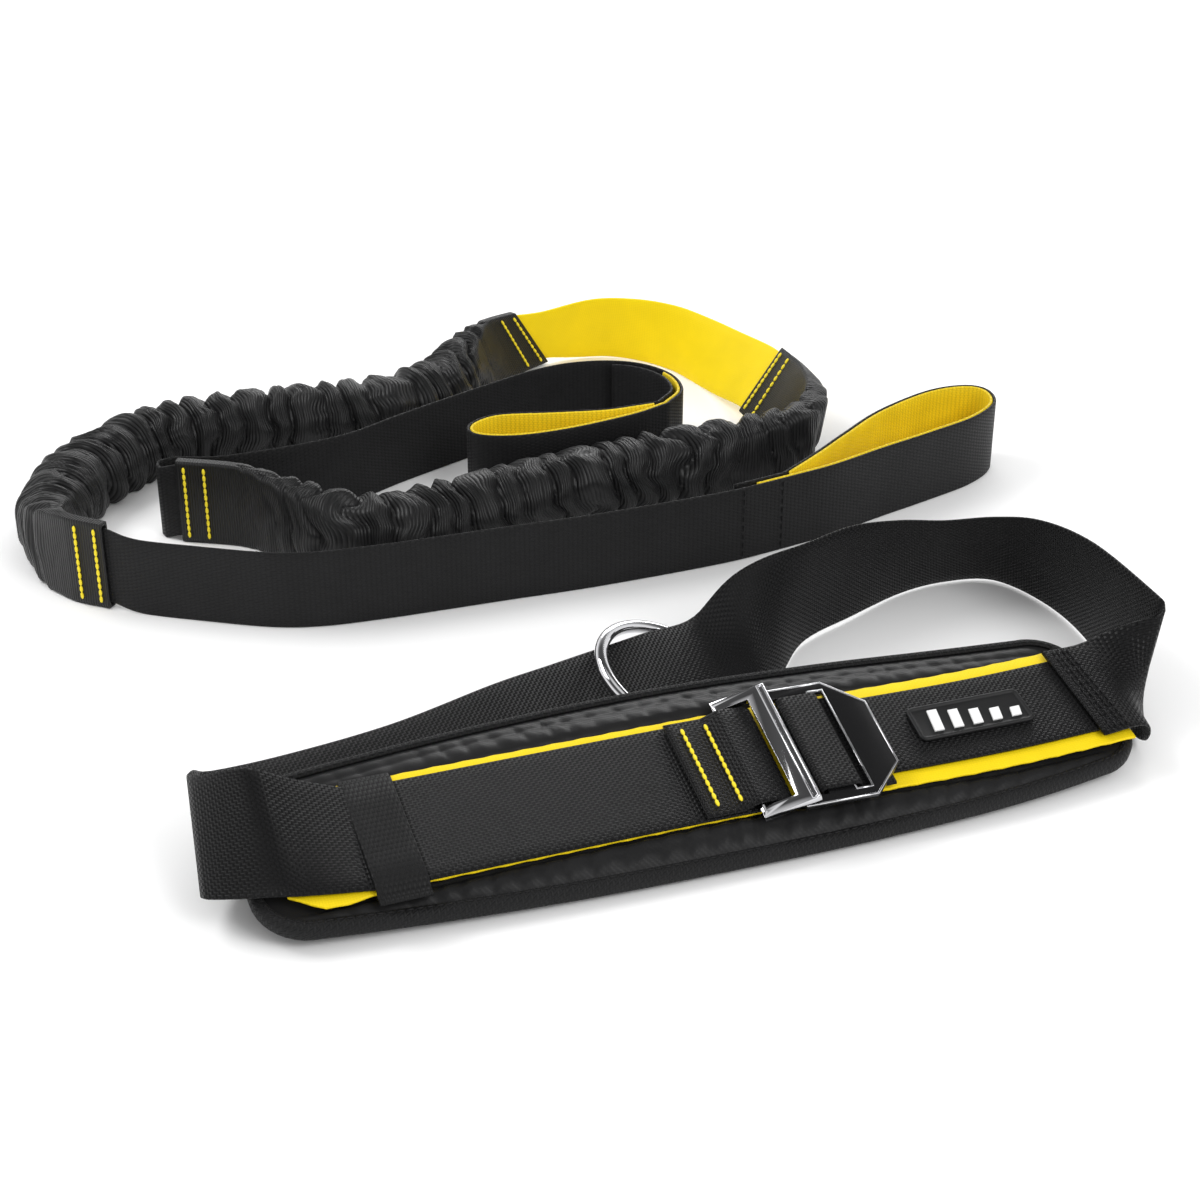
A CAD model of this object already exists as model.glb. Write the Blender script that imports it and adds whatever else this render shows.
# %% [markdown]
# A resistance sprint trainer in two pieces: a padded waist belt with a hook
# buckle and a tow ring, and an elastic tether in gathered sleeves with a hand
# loop at each end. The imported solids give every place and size. This script
# dresses them: each strap, sleeve and cover is rebuilt as cloth on the same
# line, and the metal parts get soft edges and a real finish.

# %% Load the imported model
import math

import bmesh
import bpy
import numpy as np
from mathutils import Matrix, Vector, noise


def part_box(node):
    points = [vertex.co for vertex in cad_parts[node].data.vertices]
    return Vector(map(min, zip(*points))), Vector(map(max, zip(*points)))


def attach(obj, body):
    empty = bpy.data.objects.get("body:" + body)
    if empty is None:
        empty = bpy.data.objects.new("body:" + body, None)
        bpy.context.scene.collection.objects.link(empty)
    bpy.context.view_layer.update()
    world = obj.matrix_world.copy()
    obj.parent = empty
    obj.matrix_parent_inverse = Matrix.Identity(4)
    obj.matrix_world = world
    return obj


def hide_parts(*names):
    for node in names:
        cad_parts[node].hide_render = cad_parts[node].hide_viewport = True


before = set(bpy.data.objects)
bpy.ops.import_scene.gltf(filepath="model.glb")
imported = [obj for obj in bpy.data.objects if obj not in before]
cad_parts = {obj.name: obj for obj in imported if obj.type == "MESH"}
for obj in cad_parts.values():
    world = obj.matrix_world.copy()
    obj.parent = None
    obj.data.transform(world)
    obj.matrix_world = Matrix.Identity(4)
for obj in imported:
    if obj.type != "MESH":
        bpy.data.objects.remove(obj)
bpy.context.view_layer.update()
print("packed pieces:", len(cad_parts))

# %% [markdown]
# The sizes below are the ones that the solids were drawn with. Straps are
# drawn from the same few points, so cloth and solid share one route. The step
# between rows is finer here, because a render shows every facet. Gathers,
# folds and threads have sizes of their own.

# %% Sizes of the belt
BELT_SPAN = 0.385
PAD_LENGTH = 0.3615
PAD_MID_HEIGHT = 0.095
PAD_END_HEIGHT = 0.070
PAD_CORNER_RADIUS = 0.022
FOAM_MID_THICKNESS = 0.009
FOAM_RIM_THICKNESS = 0.002
FOAM_INSET = 0.0135
FOAM_SHOULDER = 0.0085
FOAM_ROOM = 0.002
COVER_THICKNESS = 0.0012
COVER_INSET = 0.0024
BINDING_THICKNESS = 0.0012
BELT_WIDTH = 0.050
BELT_THICKNESS = 0.0015
PAD_WEBBING_WIDTH = 0.041
STRIPE_WIDTH = 0.054
STRIPE_THICKNESS = 0.0014
WEB_RAISE = -0.0035
STRAP_RAISE = -0.0060
KEEPER_WIDTH = 0.020
KEEPER_THICKNESS = 0.0013
BADGE_LENGTH = 0.050
BADGE_HEIGHT = 0.018
EDGE_ROOM = 0.001
FRAME_LENGTH = 0.0215
FRAME_THICKNESS = 0.0025
BUCKLE_ARM = 0.005
PLATE_CHAMFER = 0.014
FRAME_BAR_RADIUS = 0.0015
FRAME_LIP_THICKNESS = 0.0018
PLATE_LENGTH = 0.044
PLATE_THICKNESS = 0.0022
PLATE_BAR = 0.0035
PLATE_WINDOW = 0.0074
PLATE_WEB_BAR = 0.012
PLATE_SLOT = 0.0055
HOOK_PLAY = 0.0010
RING_WIRE = 0.0055
RING_PLAY = 0.003
FRAME_TILT_DEG = 17.0
RING_SWING_DEG = 15.0
PAD_LEAN_DEG = 75.0
KEEPER_SHARE = 0.146
FRAME_BAR_SHARE = 0.539
BADGE_SHARE = 0.814
STRAP_END_SHARE = 0.945
BOX_STITCH_SHARE = 0.970

# %% Sizes of the tether
TETHER_SPAN = 0.500
TAPE_WIDTH = 0.038
TAPE_THICKNESS = 0.0015
SLEEVE_RADIUS = 0.0165
SLEEVE_END_WIDTH = 0.043
SLEEVE_ROOM = 0.0006
SLEEVE_WALL = 0.0012
SLEEVE_END_THICKNESS = TAPE_THICKNESS + 2 * (SLEEVE_ROOM + SLEEVE_WALL)
SLEEVE_GATHER_WALL = 0.004
TONGUE_LENGTH = 0.024
STITCH_MARGIN = 0.004
SEAM_SPACING = 0.010
GAP = 0.0003
LINING_SHARE = 0.6
FRONT_SEAM_LENGTH = 0.030
REAR_SEAM_LENGTH = 0.080
STANDING_HEIGHT_SHARE = 0.5
TAIL_LENGTH = 0.023

# Finer than the solids, or only in the dressed model
STRAP_STEP = 0.004
LOOP_STEP = 0.003
TWIST_STEP_DEG = 5.0
SLEEVE_SIDES = 72
SLEEVE_STEP = 0.00095
GATHER_HEIGHT = 0.0042
GATHER_PITCH = 0.0145
CLOTH_FULLNESS = 1.9
PUFF_HEIGHT = 0.0060
FOLD_HEIGHT = 0.0021
TAPE_REACH = 0.0046
TAPE_WALL = 0.0006
FOLD_REACH = 0.0122
LAY_DOWN = 0.049
SEAM_LIFT = 0.0003
SLEEVE_SEAM_LIFT = 0.0004
BOX_ROW_SPACING = 0.0022
TAIL_SEAM_ROOM = 0.012
SLEEVE_SEAM_ROOM = 0.009
STRAP_SEAM_ROOM = 0.006
YELLOW_STITCH = (0.0034, 0.0035, 0.0008)

# %% Routes, as shares of the pad's length, the belt's span and the tether's span
PAD_PLACE_SHARES = (0.09953, -0.45727)
PAD_LINE_SHARES = [
    (-0.470, -0.173), (-0.315, -0.115), (-0.158, -0.057), (0.000, 0.000), (0.158, 0.052), (0.316, 0.105),
    (0.471, 0.168),
]
WAIST_ROUTE_SHARES = [
    (0.575, -0.301, 0.47, -0.08, 0.72),
    (0.588, -0.286, 0.47, 0.18, 0.34),
    (0.594, -0.256, 0.49, 0.23, 0.14),
    (0.592, -0.225, 0.52, 0.14, -0.04),
    (0.562, -0.101, 0.52, -0.04, -0.12),
    (0.523, -0.025, 0.50, -0.14, -0.26),
    (0.474, 0.018, 0.46, -0.14, -0.46),
    (0.414, 0.014, 0.45, -0.14, -0.48),
    (0.357, -0.009, 0.48, -0.10, -0.36),
    (0.292, -0.058, 0.52, -0.06, -0.14),
    (0.229, -0.115, 0.52, -0.06, -0.04),
    (0.180, -0.172, 0.47, -0.34, 0.38),
]
RING_STRETCH_SHARES = [(0.140, -0.222), (-0.081, -0.375)]
RING_STRETCH_HEIGHT_SHARE = 0.36
RING_PLACE_SHARE = 0.30
STRETCH_TILT_SHARES = (-0.532, 0.759)
LEFT_RUN_SHARES = [
    (-0.182, -0.440, 0.29, -0.53, 0.76),
    (-0.290, -0.496, 0.26, -0.50, 0.78),
    (-0.362, -0.541, 0.29, -0.38, 0.80),
    (-0.381, -0.574, 0.42, -0.24, 0.80),
    (-0.378, -0.608, 0.54, -0.20, 0.84),
]
CENTRE_ROUTE_SHARES = [
    (-0.050, 0.594, 0.46, -0.40, -0.30),
    (0.000, 0.608, 0.50, -0.20, -0.10),
    (0.046, 0.600, 0.50, -0.08, 0.05),
    (0.086, 0.576, 0.49, 0.04, 0.20),
    (0.116, 0.540, 0.48, 0.20, 0.34),
    (0.144, 0.496, 0.50, 0.38, 0.42),
    (0.168, 0.448, 0.58, 0.52, 0.46),
]
SLEEVE_LEFT_SHARES = [
    (-0.082, 0.576, 0.51, -0.42, -0.36, 0.0),
    (-0.114, 0.542, 0.51, -0.36, -0.28, 0.0),
    (-0.150, 0.492, 0.46, -0.14, -0.12, 0.65),
    (-0.178, 0.432, 0.42, 0.00, 0.00, 1.0),
    (-0.222, 0.386, 0.42, 0.00, 0.00, 1.0),
    (-0.280, 0.362, 0.42, 0.00, 0.00, 1.0),
    (-0.342, 0.344, 0.42, 0.00, 0.00, 1.0),
    (-0.402, 0.326, 0.42, 0.00, 0.00, 1.0),
    (-0.456, 0.294, 0.42, 0.00, 0.00, 1.0),
    (-0.500, 0.242, 0.42, 0.00, 0.00, 1.0),
    (-0.526, 0.176, 0.42, 0.00, 0.00, 1.0),
    (-0.530, 0.106, 0.43, 0.00, 0.00, 0.9),
    (-0.518, 0.050, 0.51, 0.00, 0.00, 0.50),
    (-0.492, 0.006, 0.57, 0.00, 0.00, 0.0),
    (-0.450, -0.014, 0.57, 0.00, 0.00, 0.0),
]
SLEEVE_RIGHT_SHARES = [
    (0.178, 0.420, 0.62, 0.56, 0.50, 0.0),
    (0.198, 0.366, 0.62, 0.50, 0.36, 0.05),
    (0.214, 0.318, 0.58, 0.34, 0.16, 0.30),
    (0.206, 0.280, 0.53, 0.14, 0.04, 0.45),
    (0.168, 0.258, 0.48, 0.00, 0.00, 0.6),
    (0.122, 0.247, 0.44, 0.00, 0.00, 0.9),
    (0.070, 0.228, 0.42, 0.00, 0.00, 1.0),
    (0.014, 0.203, 0.42, 0.00, 0.00, 1.0),
    (-0.042, 0.174, 0.42, 0.00, 0.00, 1.0),
    (-0.096, 0.143, 0.42, 0.00, 0.00, 1.0),
    (-0.148, 0.108, 0.42, 0.00, 0.00, 1.0),
    (-0.198, 0.080, 0.42, 0.00, 0.00, 1.0),
    (-0.250, 0.078, 0.44, 0.00, 0.00, 0.8),
    (-0.302, 0.098, 0.50, 0.00, 0.00, 0.35),
    (-0.350, 0.116, 0.56, 0.00, 0.00, 0.0),
    (-0.408, 0.126, 0.57, 0.00, 0.00, 0.0),
]
FRONT_STRAP_SHARES = [
    (-0.420, -0.026), (-0.362, -0.040), (-0.296, -0.052), (-0.250, -0.050), (-0.196, -0.036),
    (-0.140, -0.018), (-0.086, 0.000), (-0.006, 0.026), (0.082, 0.060), (0.132, 0.082), (0.182, 0.110),
]
FRONT_LOOP_SHARES = [
    (0.228, 0.138), (0.280, 0.178), (0.332, 0.216), (0.382, 0.256), (0.408, 0.294), (0.406, 0.328),
    (0.384, 0.340), (0.342, 0.324), (0.286, 0.272), (0.244, 0.214), (0.214, 0.170),
]
REAR_STRAP_SHARES = [
    (-0.426, 0.132), (-0.430, 0.146), (-0.414, 0.156), (-0.372, 0.158),
    (-0.312, 0.180), (-0.254, 0.212), (-0.204, 0.262), (-0.138, 0.324), (-0.066, 0.386), (-0.012, 0.408),
    (0.038, 0.404), (0.074, 0.374), (0.086, 0.330), (0.070, 0.292),
]
REAR_LOOP_SHARES = [
    (0.034, 0.262), (-0.030, 0.226), (-0.084, 0.208), (-0.124, 0.212), (-0.132, 0.236), (-0.106, 0.262),
    (-0.050, 0.269), (0.004, 0.276), (0.036, 0.287),
]
UP = np.array([0.0, 0.0, 1.0])

# %% [markdown]
# A strap is a list of rows. Each row holds a place and the direction of the
# strap's upper edge. A smooth curve is read off between the chosen rows, and
# a few helpers measure it, cut it and shift it sideways.

# %% Helpers for routes
def clamp(value, low=0, high=1):
    return min(max(value, low), high)


def unit(vector):
    return vector / np.linalg.norm(vector)


def steps_between(start, end, count):
    return [start + (end - start) * k / count for k in range(count + 1)]


def turns(count, start=0):
    """Angles evenly spaced round a circle."""
    return [2 * math.pi * (k + start) / count for k in range(count)]


def smooth_rows(rows, step):
    """Rows read off a smooth curve through the given rows. The first three columns are a place."""
    rows = [np.array(row, dtype=float) for row in rows]
    ends = [2 * rows[0] - rows[1]] + rows + [2 * rows[-1] - rows[-2]]
    result = []
    for a, b, c, d in zip(ends, ends[1:], ends[2:], ends[3:]):
        turn = math.degrees(math.acos(min(1, np.dot(unit(b[3:6]), unit(c[3:6]))))) if len(b) > 3 else 0
        count = max(1, round(np.linalg.norm((c - b)[:3]) / step), math.ceil(turn / TWIST_STEP_DEG))
        for k in range(count):
            t = k / count
            result.append(0.5 * (2 * b + (c - a) * t + (2 * a - 5 * b + 4 * c - d) * t * t
                                 + (3 * b - 3 * c + d - a) * t ** 3))
    return result + [rows[-1]]


def tilted(tilt_x, tilt_y):
    """Unit direction of a strap's upper edge from the two tilts."""
    return np.array([tilt_x, tilt_y, math.sqrt(max(0.0, 1 - tilt_x ** 2 - tilt_y ** 2))])


def frames_along(rows):
    """Place, along, across and outward directions at each row."""
    places = np.array([row[:3] for row in rows])
    result = []
    for k, row in enumerate(rows):
        along = unit(places[min(k + 1, len(rows) - 1)] - places[max(k - 1, 0)])
        across = unit(row[3:6])
        result.append((places[k], along, across, unit(np.cross(along, across))))
    return result


def lengths_along(rows):
    places = np.array([row[:3] for row in rows])
    return np.concatenate([[0], np.cumsum(np.linalg.norm(np.diff(places, axis=0), axis=1))])


def read_at(distance, along, rows):
    """The values of the rows at a distance along them."""
    return np.array([np.interp(distance, along, column) for column in np.array(rows).T])


def rows_between(rows, start, end):
    """Evenly spaced rows on the part of a strap line between two distances along it."""
    count = max(2, round((end - start) / STRAP_STEP))
    return [read_at(distance, lengths_along(rows), rows) for distance in steps_between(start, end, count)]


def frames_at(rows, distances):
    along, frames = lengths_along(rows), frames_along(rows)
    places = [frame_here[0] for frame_here in frames]
    return [(read_at(distance, along, places), *frames[int(np.argmin(np.abs(along - distance)))][1:])
            for distance in distances]


def offset_rows(rows, distance):
    """The same strap line moved sideways along its outward direction."""
    return [np.concatenate([place + outward * distance, across])
            for place, along, across, outward in frames_along(rows)]


def route_rows(shares, span, width):
    """Strap rows from plan shares, a height share, two tilts and any further values."""
    return [np.array([x * span, y * span, z * width, *tilted(tx, ty), *more]) for x, y, z, tx, ty, *more in shares]


def ring_stretch():
    """The straight piece of the waist strap that carries the tow ring, right end first."""
    across = tilted(*STRETCH_TILT_SHARES)
    height = RING_STRETCH_HEIGHT_SHARE * BELT_WIDTH
    first, last = [np.array([x * BELT_SPAN, y * BELT_SPAN, height, *across]) for x, y in RING_STRETCH_SHARES]
    return steps_between(first, last, 4)

# %% [markdown]
# The pad leans back on the floor. Everything sewn to it is placed by three
# numbers: how far along the pad, how far up it, and how far out of it.

# %% Places on the pad
PAD_X, PAD_Y = (share * BELT_SPAN for share in PAD_PLACE_SHARES)
PAD_LINE = np.array(smooth_rows([(PAD_X + x * PAD_LENGTH, PAD_Y + y * PAD_LENGTH, 0) for x, y in PAD_LINE_SHARES],
                                STRAP_STEP))
PAD_LINE_LENGTHS = lengths_along(PAD_LINE)
PAD_MID_STACK = FOAM_MID_THICKNESS / 2 + GAP + COVER_THICKNESS
STRIPE_LEVEL = PAD_MID_STACK + GAP + STRIPE_THICKNESS / 2
WEB_LEVEL = STRIPE_LEVEL + (STRIPE_THICKNESS + BELT_THICKNESS) / 2 + GAP
LAYER_STEP = BELT_THICKNESS + GAP


def pad_half_height(distance):
    share = clamp(distance / PAD_LENGTH)
    return (PAD_END_HEIGHT + (PAD_MID_HEIGHT - PAD_END_HEIGHT) * math.sin(math.pi * share) ** 0.8) / 2


def pad_axes(distance):
    """Middle of the pad at this distance, with its along, across and outward directions."""
    inside = clamp(distance, 0, PAD_LENGTH)
    middle, ahead, behind = [read_at(reach, PAD_LINE_LENGTHS, PAD_LINE) for reach in (
        inside, min(inside + STRAP_STEP, PAD_LENGTH), max(inside - STRAP_STEP, 0))]
    along = unit(ahead - behind)
    lean = math.radians(PAD_LEAN_DEG)
    back = np.array([-along[1], along[0], 0])
    across = back * math.sin(lean) + UP * math.cos(lean)
    outward = np.cross(along, across)
    rim = FOAM_RIM_THICKNESS / 2 + COVER_THICKNESS + BINDING_THICKNESS + 3 * GAP
    middle = middle + UP * (PAD_MID_HEIGHT / 2 * math.cos(lean) + rim * math.sin(lean))
    return middle + along * (distance - inside), along, across, outward


def pad_row(distance, height, out):
    middle, along, across, outward = pad_axes(distance)
    return np.concatenate([middle + across * height + outward * out, across])


def pad_point(distance, height, out):
    return pad_row(distance, height, out)[:3]


def pad_run(start, end, height, out):
    count = max(1, round(abs(end - start) / STRAP_STEP))
    return [pad_row(distance, height, out) for distance in steps_between(start, end, count)]


def corner_height(distance):
    """Half the pad's height where the nearer pair of round corners begins."""
    return pad_half_height(PAD_CORNER_RADIUS if distance < PAD_LENGTH / 2 else PAD_LENGTH - PAD_CORNER_RADIUS)


def column_limit(distance, inset):
    """Half the pad's height at this distance, inside an inset, with round corners."""
    reach = min(distance, PAD_LENGTH - distance)
    if reach >= PAD_CORNER_RADIUS:
        return pad_half_height(distance) - inset
    radius = PAD_CORNER_RADIUS - inset
    drop = min(PAD_CORNER_RADIUS - reach, radius)
    return corner_height(distance) - PAD_CORNER_RADIUS + math.sqrt(max(radius ** 2 - drop ** 2, 0))


def edge_distance(distance, height):
    """Shortest way from a point of the pad to its outline."""
    reach = min(distance, PAD_LENGTH - distance)
    beyond = abs(height) - corner_height(distance) + PAD_CORNER_RADIUS
    if reach < PAD_CORNER_RADIUS and beyond > 0:
        return PAD_CORNER_RADIUS - math.hypot(PAD_CORNER_RADIUS - reach, beyond)
    return min(reach, pad_half_height(distance) - abs(height))


def foam_half(edge):
    """Half the foam's thickness at this distance from the pad's outline."""
    share = clamp((edge - FOAM_INSET) / FOAM_SHOULDER)
    return (FOAM_RIM_THICKNESS + (FOAM_MID_THICKNESS - FOAM_RIM_THICKNESS) * share) / 2


def hook_reach():
    """Distance along the pad from the frame's bar to the near side of its lip, at the plate's top."""
    tilt = math.radians(FRAME_TILT_DEG)
    reach = FRAME_LENGTH - FRAME_LIP_THICKNESS
    drop = (BAR_LEVEL + reach * math.sin(tilt) - PLATE_LEVEL - PLATE_THICKNESS / 2) / math.cos(tilt)
    return reach * math.cos(tilt) + drop * math.sin(tilt)


FRAME_BAR = FRAME_BAR_SHARE * PAD_LENGTH
BAR_LEVEL = WEB_LEVEL + BELT_THICKNESS / 2 + GAP + FRAME_BAR_RADIUS
WRAP_RADIUS = FRAME_BAR_RADIUS + GAP + BELT_THICKNESS / 2
TAIL_LEVEL = LOOP_LEVEL = WEB_LEVEL + LAYER_STEP
PLATE_LEVEL = LOOP_LEVEL + BELT_THICKNESS / 2 + GAP + PLATE_THICKNESS / 2
PLATE_LEFT = FRAME_BAR + hook_reach() - HOOK_PLAY - PLATE_BAR
PLATE_HINGE = PLATE_LEFT + PLATE_LENGTH - PLATE_BAR

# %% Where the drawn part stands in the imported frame
ring_low, ring_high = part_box("tow_ring")
stretch = ring_stretch()
ring_place = stretch[0][:3] + (stretch[-1][:3] - stretch[0][:3]) * RING_PLACE_SHARE
SHIFT = np.array((ring_low + ring_high) / 2) - ring_place
print("shift", [round(float(v), 5) for v in SHIFT])

# %% [markdown]
# The camera stands where the photo was taken: a metre away, looking down by
# 28 degrees through a long lens. The floor is pale and plain. Three large
# soft lamps and a white sky give even studio light. Only in reflections is
# the sky graded, white at the horizon and dark higher up, as a studio's
# ceiling is. That gives chrome its dark faces and bright edges.

# %% Camera, floor and light
CAMERA_REACH = 1.0
CAMERA_DOWN_DEG = 28.0
CAMERA_LENS = 64.5
SKY_LEVEL = 0.74
CEILING_GREYS = ((0.0, 1.0), (0.42, 0.95), (0.56, 0.35), (0.70, 0.10), (0.91, 0.07), (0.97, 0.6), (1.0, 0.9))
FLOOR_HALF = 6


def add_object(name, data):
    item = bpy.data.objects.new(name, data)
    bpy.context.scene.collection.objects.link(item)
    return item


def lamp(name, place, size, power):
    """A soft rectangular lamp that looks at the middle of the floor."""
    data = bpy.data.lights.new(name, "AREA")
    data.shape = "RECTANGLE"
    data.size, data.size_y = size
    data.energy = power
    item = add_object(name, data)
    item.location = place
    item.rotation_euler = (-Vector(place)).to_track_quat("-Z", "Y").to_euler()


def node_of(tree, kind, inputs=(), **settings):
    """A node with its settings. inputs pairs a socket's name or number with a value or another node's output."""
    made = tree.nodes.new(kind)
    for key, value in settings.items():
        setattr(made, key, value)
    feed(tree, made, inputs)
    return made


def feed(tree, node, inputs):
    for socket, value in dict(inputs).items():
        if isinstance(value, bpy.types.NodeSocket):
            tree.links.new(value, node.inputs[socket])
        else:
            node.inputs[socket].default_value = value


def calc(tree, operation, *values):
    """Output of a Math node whose inputs are numbers or sockets."""
    return node_of(tree, "ShaderNodeMath", enumerate(values), operation=operation).outputs[0]


def new_material(name, inputs):
    """A material with its node tree and its shader, whose own sockets are set by name."""
    material = bpy.data.materials.new(name)
    material.use_nodes = True
    shader = material.node_tree.nodes["Principled BSDF"]
    feed(material.node_tree, shader, inputs)
    return material, material.node_tree, shader


down = math.radians(CAMERA_DOWN_DEG)
camera = add_object("camera", bpy.data.cameras.new("camera"))
camera.data.lens = CAMERA_LENS
camera.data.sensor_width = 36
camera.location = Vector((0, -math.cos(down) * CAMERA_REACH, math.sin(down) * CAMERA_REACH)) + Vector(SHIFT)
camera.rotation_euler = (math.radians(90 - CAMERA_DOWN_DEG), 0, 0)
bpy.context.scene.camera = camera
print("camera at", [round(v, 3) for v in camera.location])

lamp("key_lamp", (-0.9, 0.2, 1.1), (0.8, 0.6), 9)
lamp("fill_lamp", (0.8, -0.9, 0.9), (0.7, 0.7), 8)
lamp("rim_lamp", (0.3, 1.3, 0.7), (1.2, 0.4), 7)
bpy.context.scene.view_settings.view_transform = "Standard"

world = bpy.data.worlds.new("studio")
bpy.context.scene.world = world
world.use_nodes = True
tree = world.node_tree
rays = node_of(tree, "ShaderNodeLightPath").outputs
heading = node_of(tree, "ShaderNodeTexCoord").outputs["Generated"]
ceiling = node_of(tree, "ShaderNodeValToRGB", {0: node_of(tree, "ShaderNodeSeparateXYZ", {0: heading}).outputs["Z"]})
stops = ceiling.color_ramp.elements
for place, grey in CEILING_GREYS:
    stop = stops.new(place) if 0 < place < 1 else stops[-1 if place else 0]
    stop.color = (grey, grey, grey, 1)
sky = (SKY_LEVEL, SKY_LEVEL, SKY_LEVEL, 1)
glossy = node_of(tree, "ShaderNodeMix", {"Factor": rays["Is Glossy Ray"], 6: sky, 7: ceiling.outputs["Color"]},
                 data_type="RGBA")
shown = calc(tree, "MAXIMUM", rays["Is Camera Ray"], rays["Is Transmission Ray"])
seen = node_of(tree, "ShaderNodeMix", {"Factor": shown, 6: glossy.outputs[2], 7: (1, 1, 1, 1)}, data_type="RGBA")
feed(tree, tree.nodes["Background"], {"Color": seen.outputs[2]})

floor_mesh = bpy.data.meshes.new("floor")
corners = [(x * FLOOR_HALF, y * FLOOR_HALF, 0) for x, y in ((-1, -1), (1, -1), (1, 1), (-1, 1))]
floor_mesh.from_pydata(corners, [], [(0, 1, 2, 3)])
paper, tree, shader = new_material("floor_paper", {"Roughness": 0.9, "Specular IOR Level": 0.1})
grain = node_of(tree, "ShaderNodeTexNoise", {"Scale": 9.0, "Detail": 3.0})
tint = node_of(tree, "ShaderNodeMapRange", {"Value": grain.outputs["Fac"], "To Min": 0.93, "To Max": 0.95}).outputs[0]
blend = node_of(tree, "ShaderNodeCombineColor", {"Red": tint, "Green": tint, "Blue": tint})
feed(tree, shader, {"Base Color": blend.outputs["Color"]})
floor_mesh.materials.append(paper)
add_object("floor", floor_mesh)

# %% [markdown]
# Woven tape is a lattice of threads that pass over and under each other. It
# could be modelled thread by thread, but at this distance a bump does it. One
# shader group makes the lattice from the strap's own map, which is laid out
# in metres, so every strap has threads of the same true size. A second group
# gives all cloth its slow unevenness.

# %% Shader group: woven threads
def new_group(name, kind, inputs, outputs):
    """A node group with named sockets. inputs holds a name, a socket type and a first value for each."""
    group = bpy.data.node_groups.new(name, kind)
    for label, socket_type, value in inputs:
        socket = group.interface.new_socket(label, in_out="INPUT", socket_type="NodeSocket" + socket_type)
        if value is not None:
            socket.default_value = value
    for label, socket_type in outputs:
        group.interface.new_socket(label, in_out="OUTPUT", socket_type="NodeSocket" + socket_type)
    return group, group.nodes.new("NodeGroupInput").outputs, group.nodes.new("NodeGroupOutput")


weave, given, result = new_group(
    "woven_threads", "ShaderNodeTree",
    [("Vector", "Vector", None), ("Threads Across", "Float", 1000.0), ("Threads Along", "Float", 1000.0),
     ("Twill Step", "Float", 0.25)],
    [("Height", "Float"), ("Over", "Float")])
axes = node_of(weave, "ShaderNodeSeparateXYZ", {0: given["Vector"]}).outputs
across, along = [calc(weave, "MULTIPLY", axes[axis], given[threads]) for axis, threads in (
    ("X", "Threads Across"), ("Y", "Threads Along"))]
steps = calc(weave, "ADD", calc(weave, "FLOOR", across), calc(weave, "FLOOR", along))
over = calc(weave, "GREATER_THAN", calc(weave, "FRACT", calc(weave, "MULTIPLY", steps, given["Twill Step"])), 0.49)
round_across, round_along = [calc(weave, "ABSOLUTE", calc(weave, "SINE", calc(weave, "MULTIPLY", threads, math.pi)))
                             for threads in (across, along)]
crown = node_of(weave, "ShaderNodeMix", {0: over, 2: round_across, 3: round_along})
feed(weave, result, {"Height": crown.outputs[0], "Over": over})

# %% Shader group: slow unevenness of cloth
uneven, given, result = new_group(
    "cloth_unevenness", "ShaderNodeTree",
    [("Colour", "Color", (0.02, 0.02, 0.02, 1)), ("Patch Scale", "Float", 60.0), ("Contrast", "Float", 0.3)],
    [("Colour", "Color"), ("Mask", "Float")])
spot = node_of(uneven, "ShaderNodeTexCoord").outputs["Object"]
patch = node_of(uneven, "ShaderNodeTexNoise", {
    "Detail": 5.0, "Vector": spot, "Scale": given["Patch Scale"]}).outputs["Fac"]
swing = calc(uneven, "MULTIPLY", calc(uneven, "SUBTRACT", patch, 0.5), given["Contrast"])
value = calc(uneven, "ADD", calc(uneven, "MULTIPLY", swing, 2.0), 1.0)
shade = node_of(uneven, "ShaderNodeHueSaturation", {"Value": value, "Color": given["Colour"]})
feed(uneven, result, {"Colour": shade.outputs["Color"], "Mask": patch})
print("shader groups:", weave.name, uneven.name)

# %% [markdown]
# Every cloth material is built the same way: its own colour and thread count,
# the two groups, and a bump. Black nylon tape is a dull black with a faint
# sheen, satin is smoother, and the yellow tape is flat and strong in colour.

# %% Cloth materials
THREAD_GLOSS = 0.12
SHEEN_ROUGHNESS = 0.4


def cloth(name, colour, roughness, across, along, twill, depth, strength, sheen=0.02, specular=0.2, contrast=0.3,
          dark_gaps=0.45):
    """Woven cloth. across and along count threads per metre, dark_gaps darkens what lies between them."""
    material, tree, shader = new_material(
        name, {"Specular IOR Level": specular, "Sheen Weight": sheen, "Sheen Roughness": SHEEN_ROUGHNESS})
    place = node_of(tree, "ShaderNodeUVMap", uv_map="strap_map").outputs["UV"]
    threads = node_of(tree, "ShaderNodeGroup", {
        "Vector": place, "Threads Across": across, "Threads Along": along, "Twill Step": twill}, node_tree=weave)
    patchy = node_of(tree, "ShaderNodeGroup", {"Colour": (*colour, 1), "Contrast": contrast}, node_tree=uneven)
    lift = calc(tree, "ADD", calc(tree, "MULTIPLY", threads.outputs["Height"], dark_gaps), 1 - dark_gaps)
    gap = node_of(tree, "ShaderNodeHueSaturation", {"Color": patchy.outputs["Colour"], "Value": lift})
    bump = node_of(tree, "ShaderNodeBump", {
        "Strength": strength, "Distance": depth, "Height": threads.outputs["Height"]})
    feed(tree, shader, {
        "Base Color": gap.outputs["Color"], "Normal": bump.outputs["Normal"],
        "Roughness": calc(tree, "SUBTRACT", roughness, calc(tree, "MULTIPLY", threads.outputs["Over"], THREAD_GLOSS))})
    return material


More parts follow.
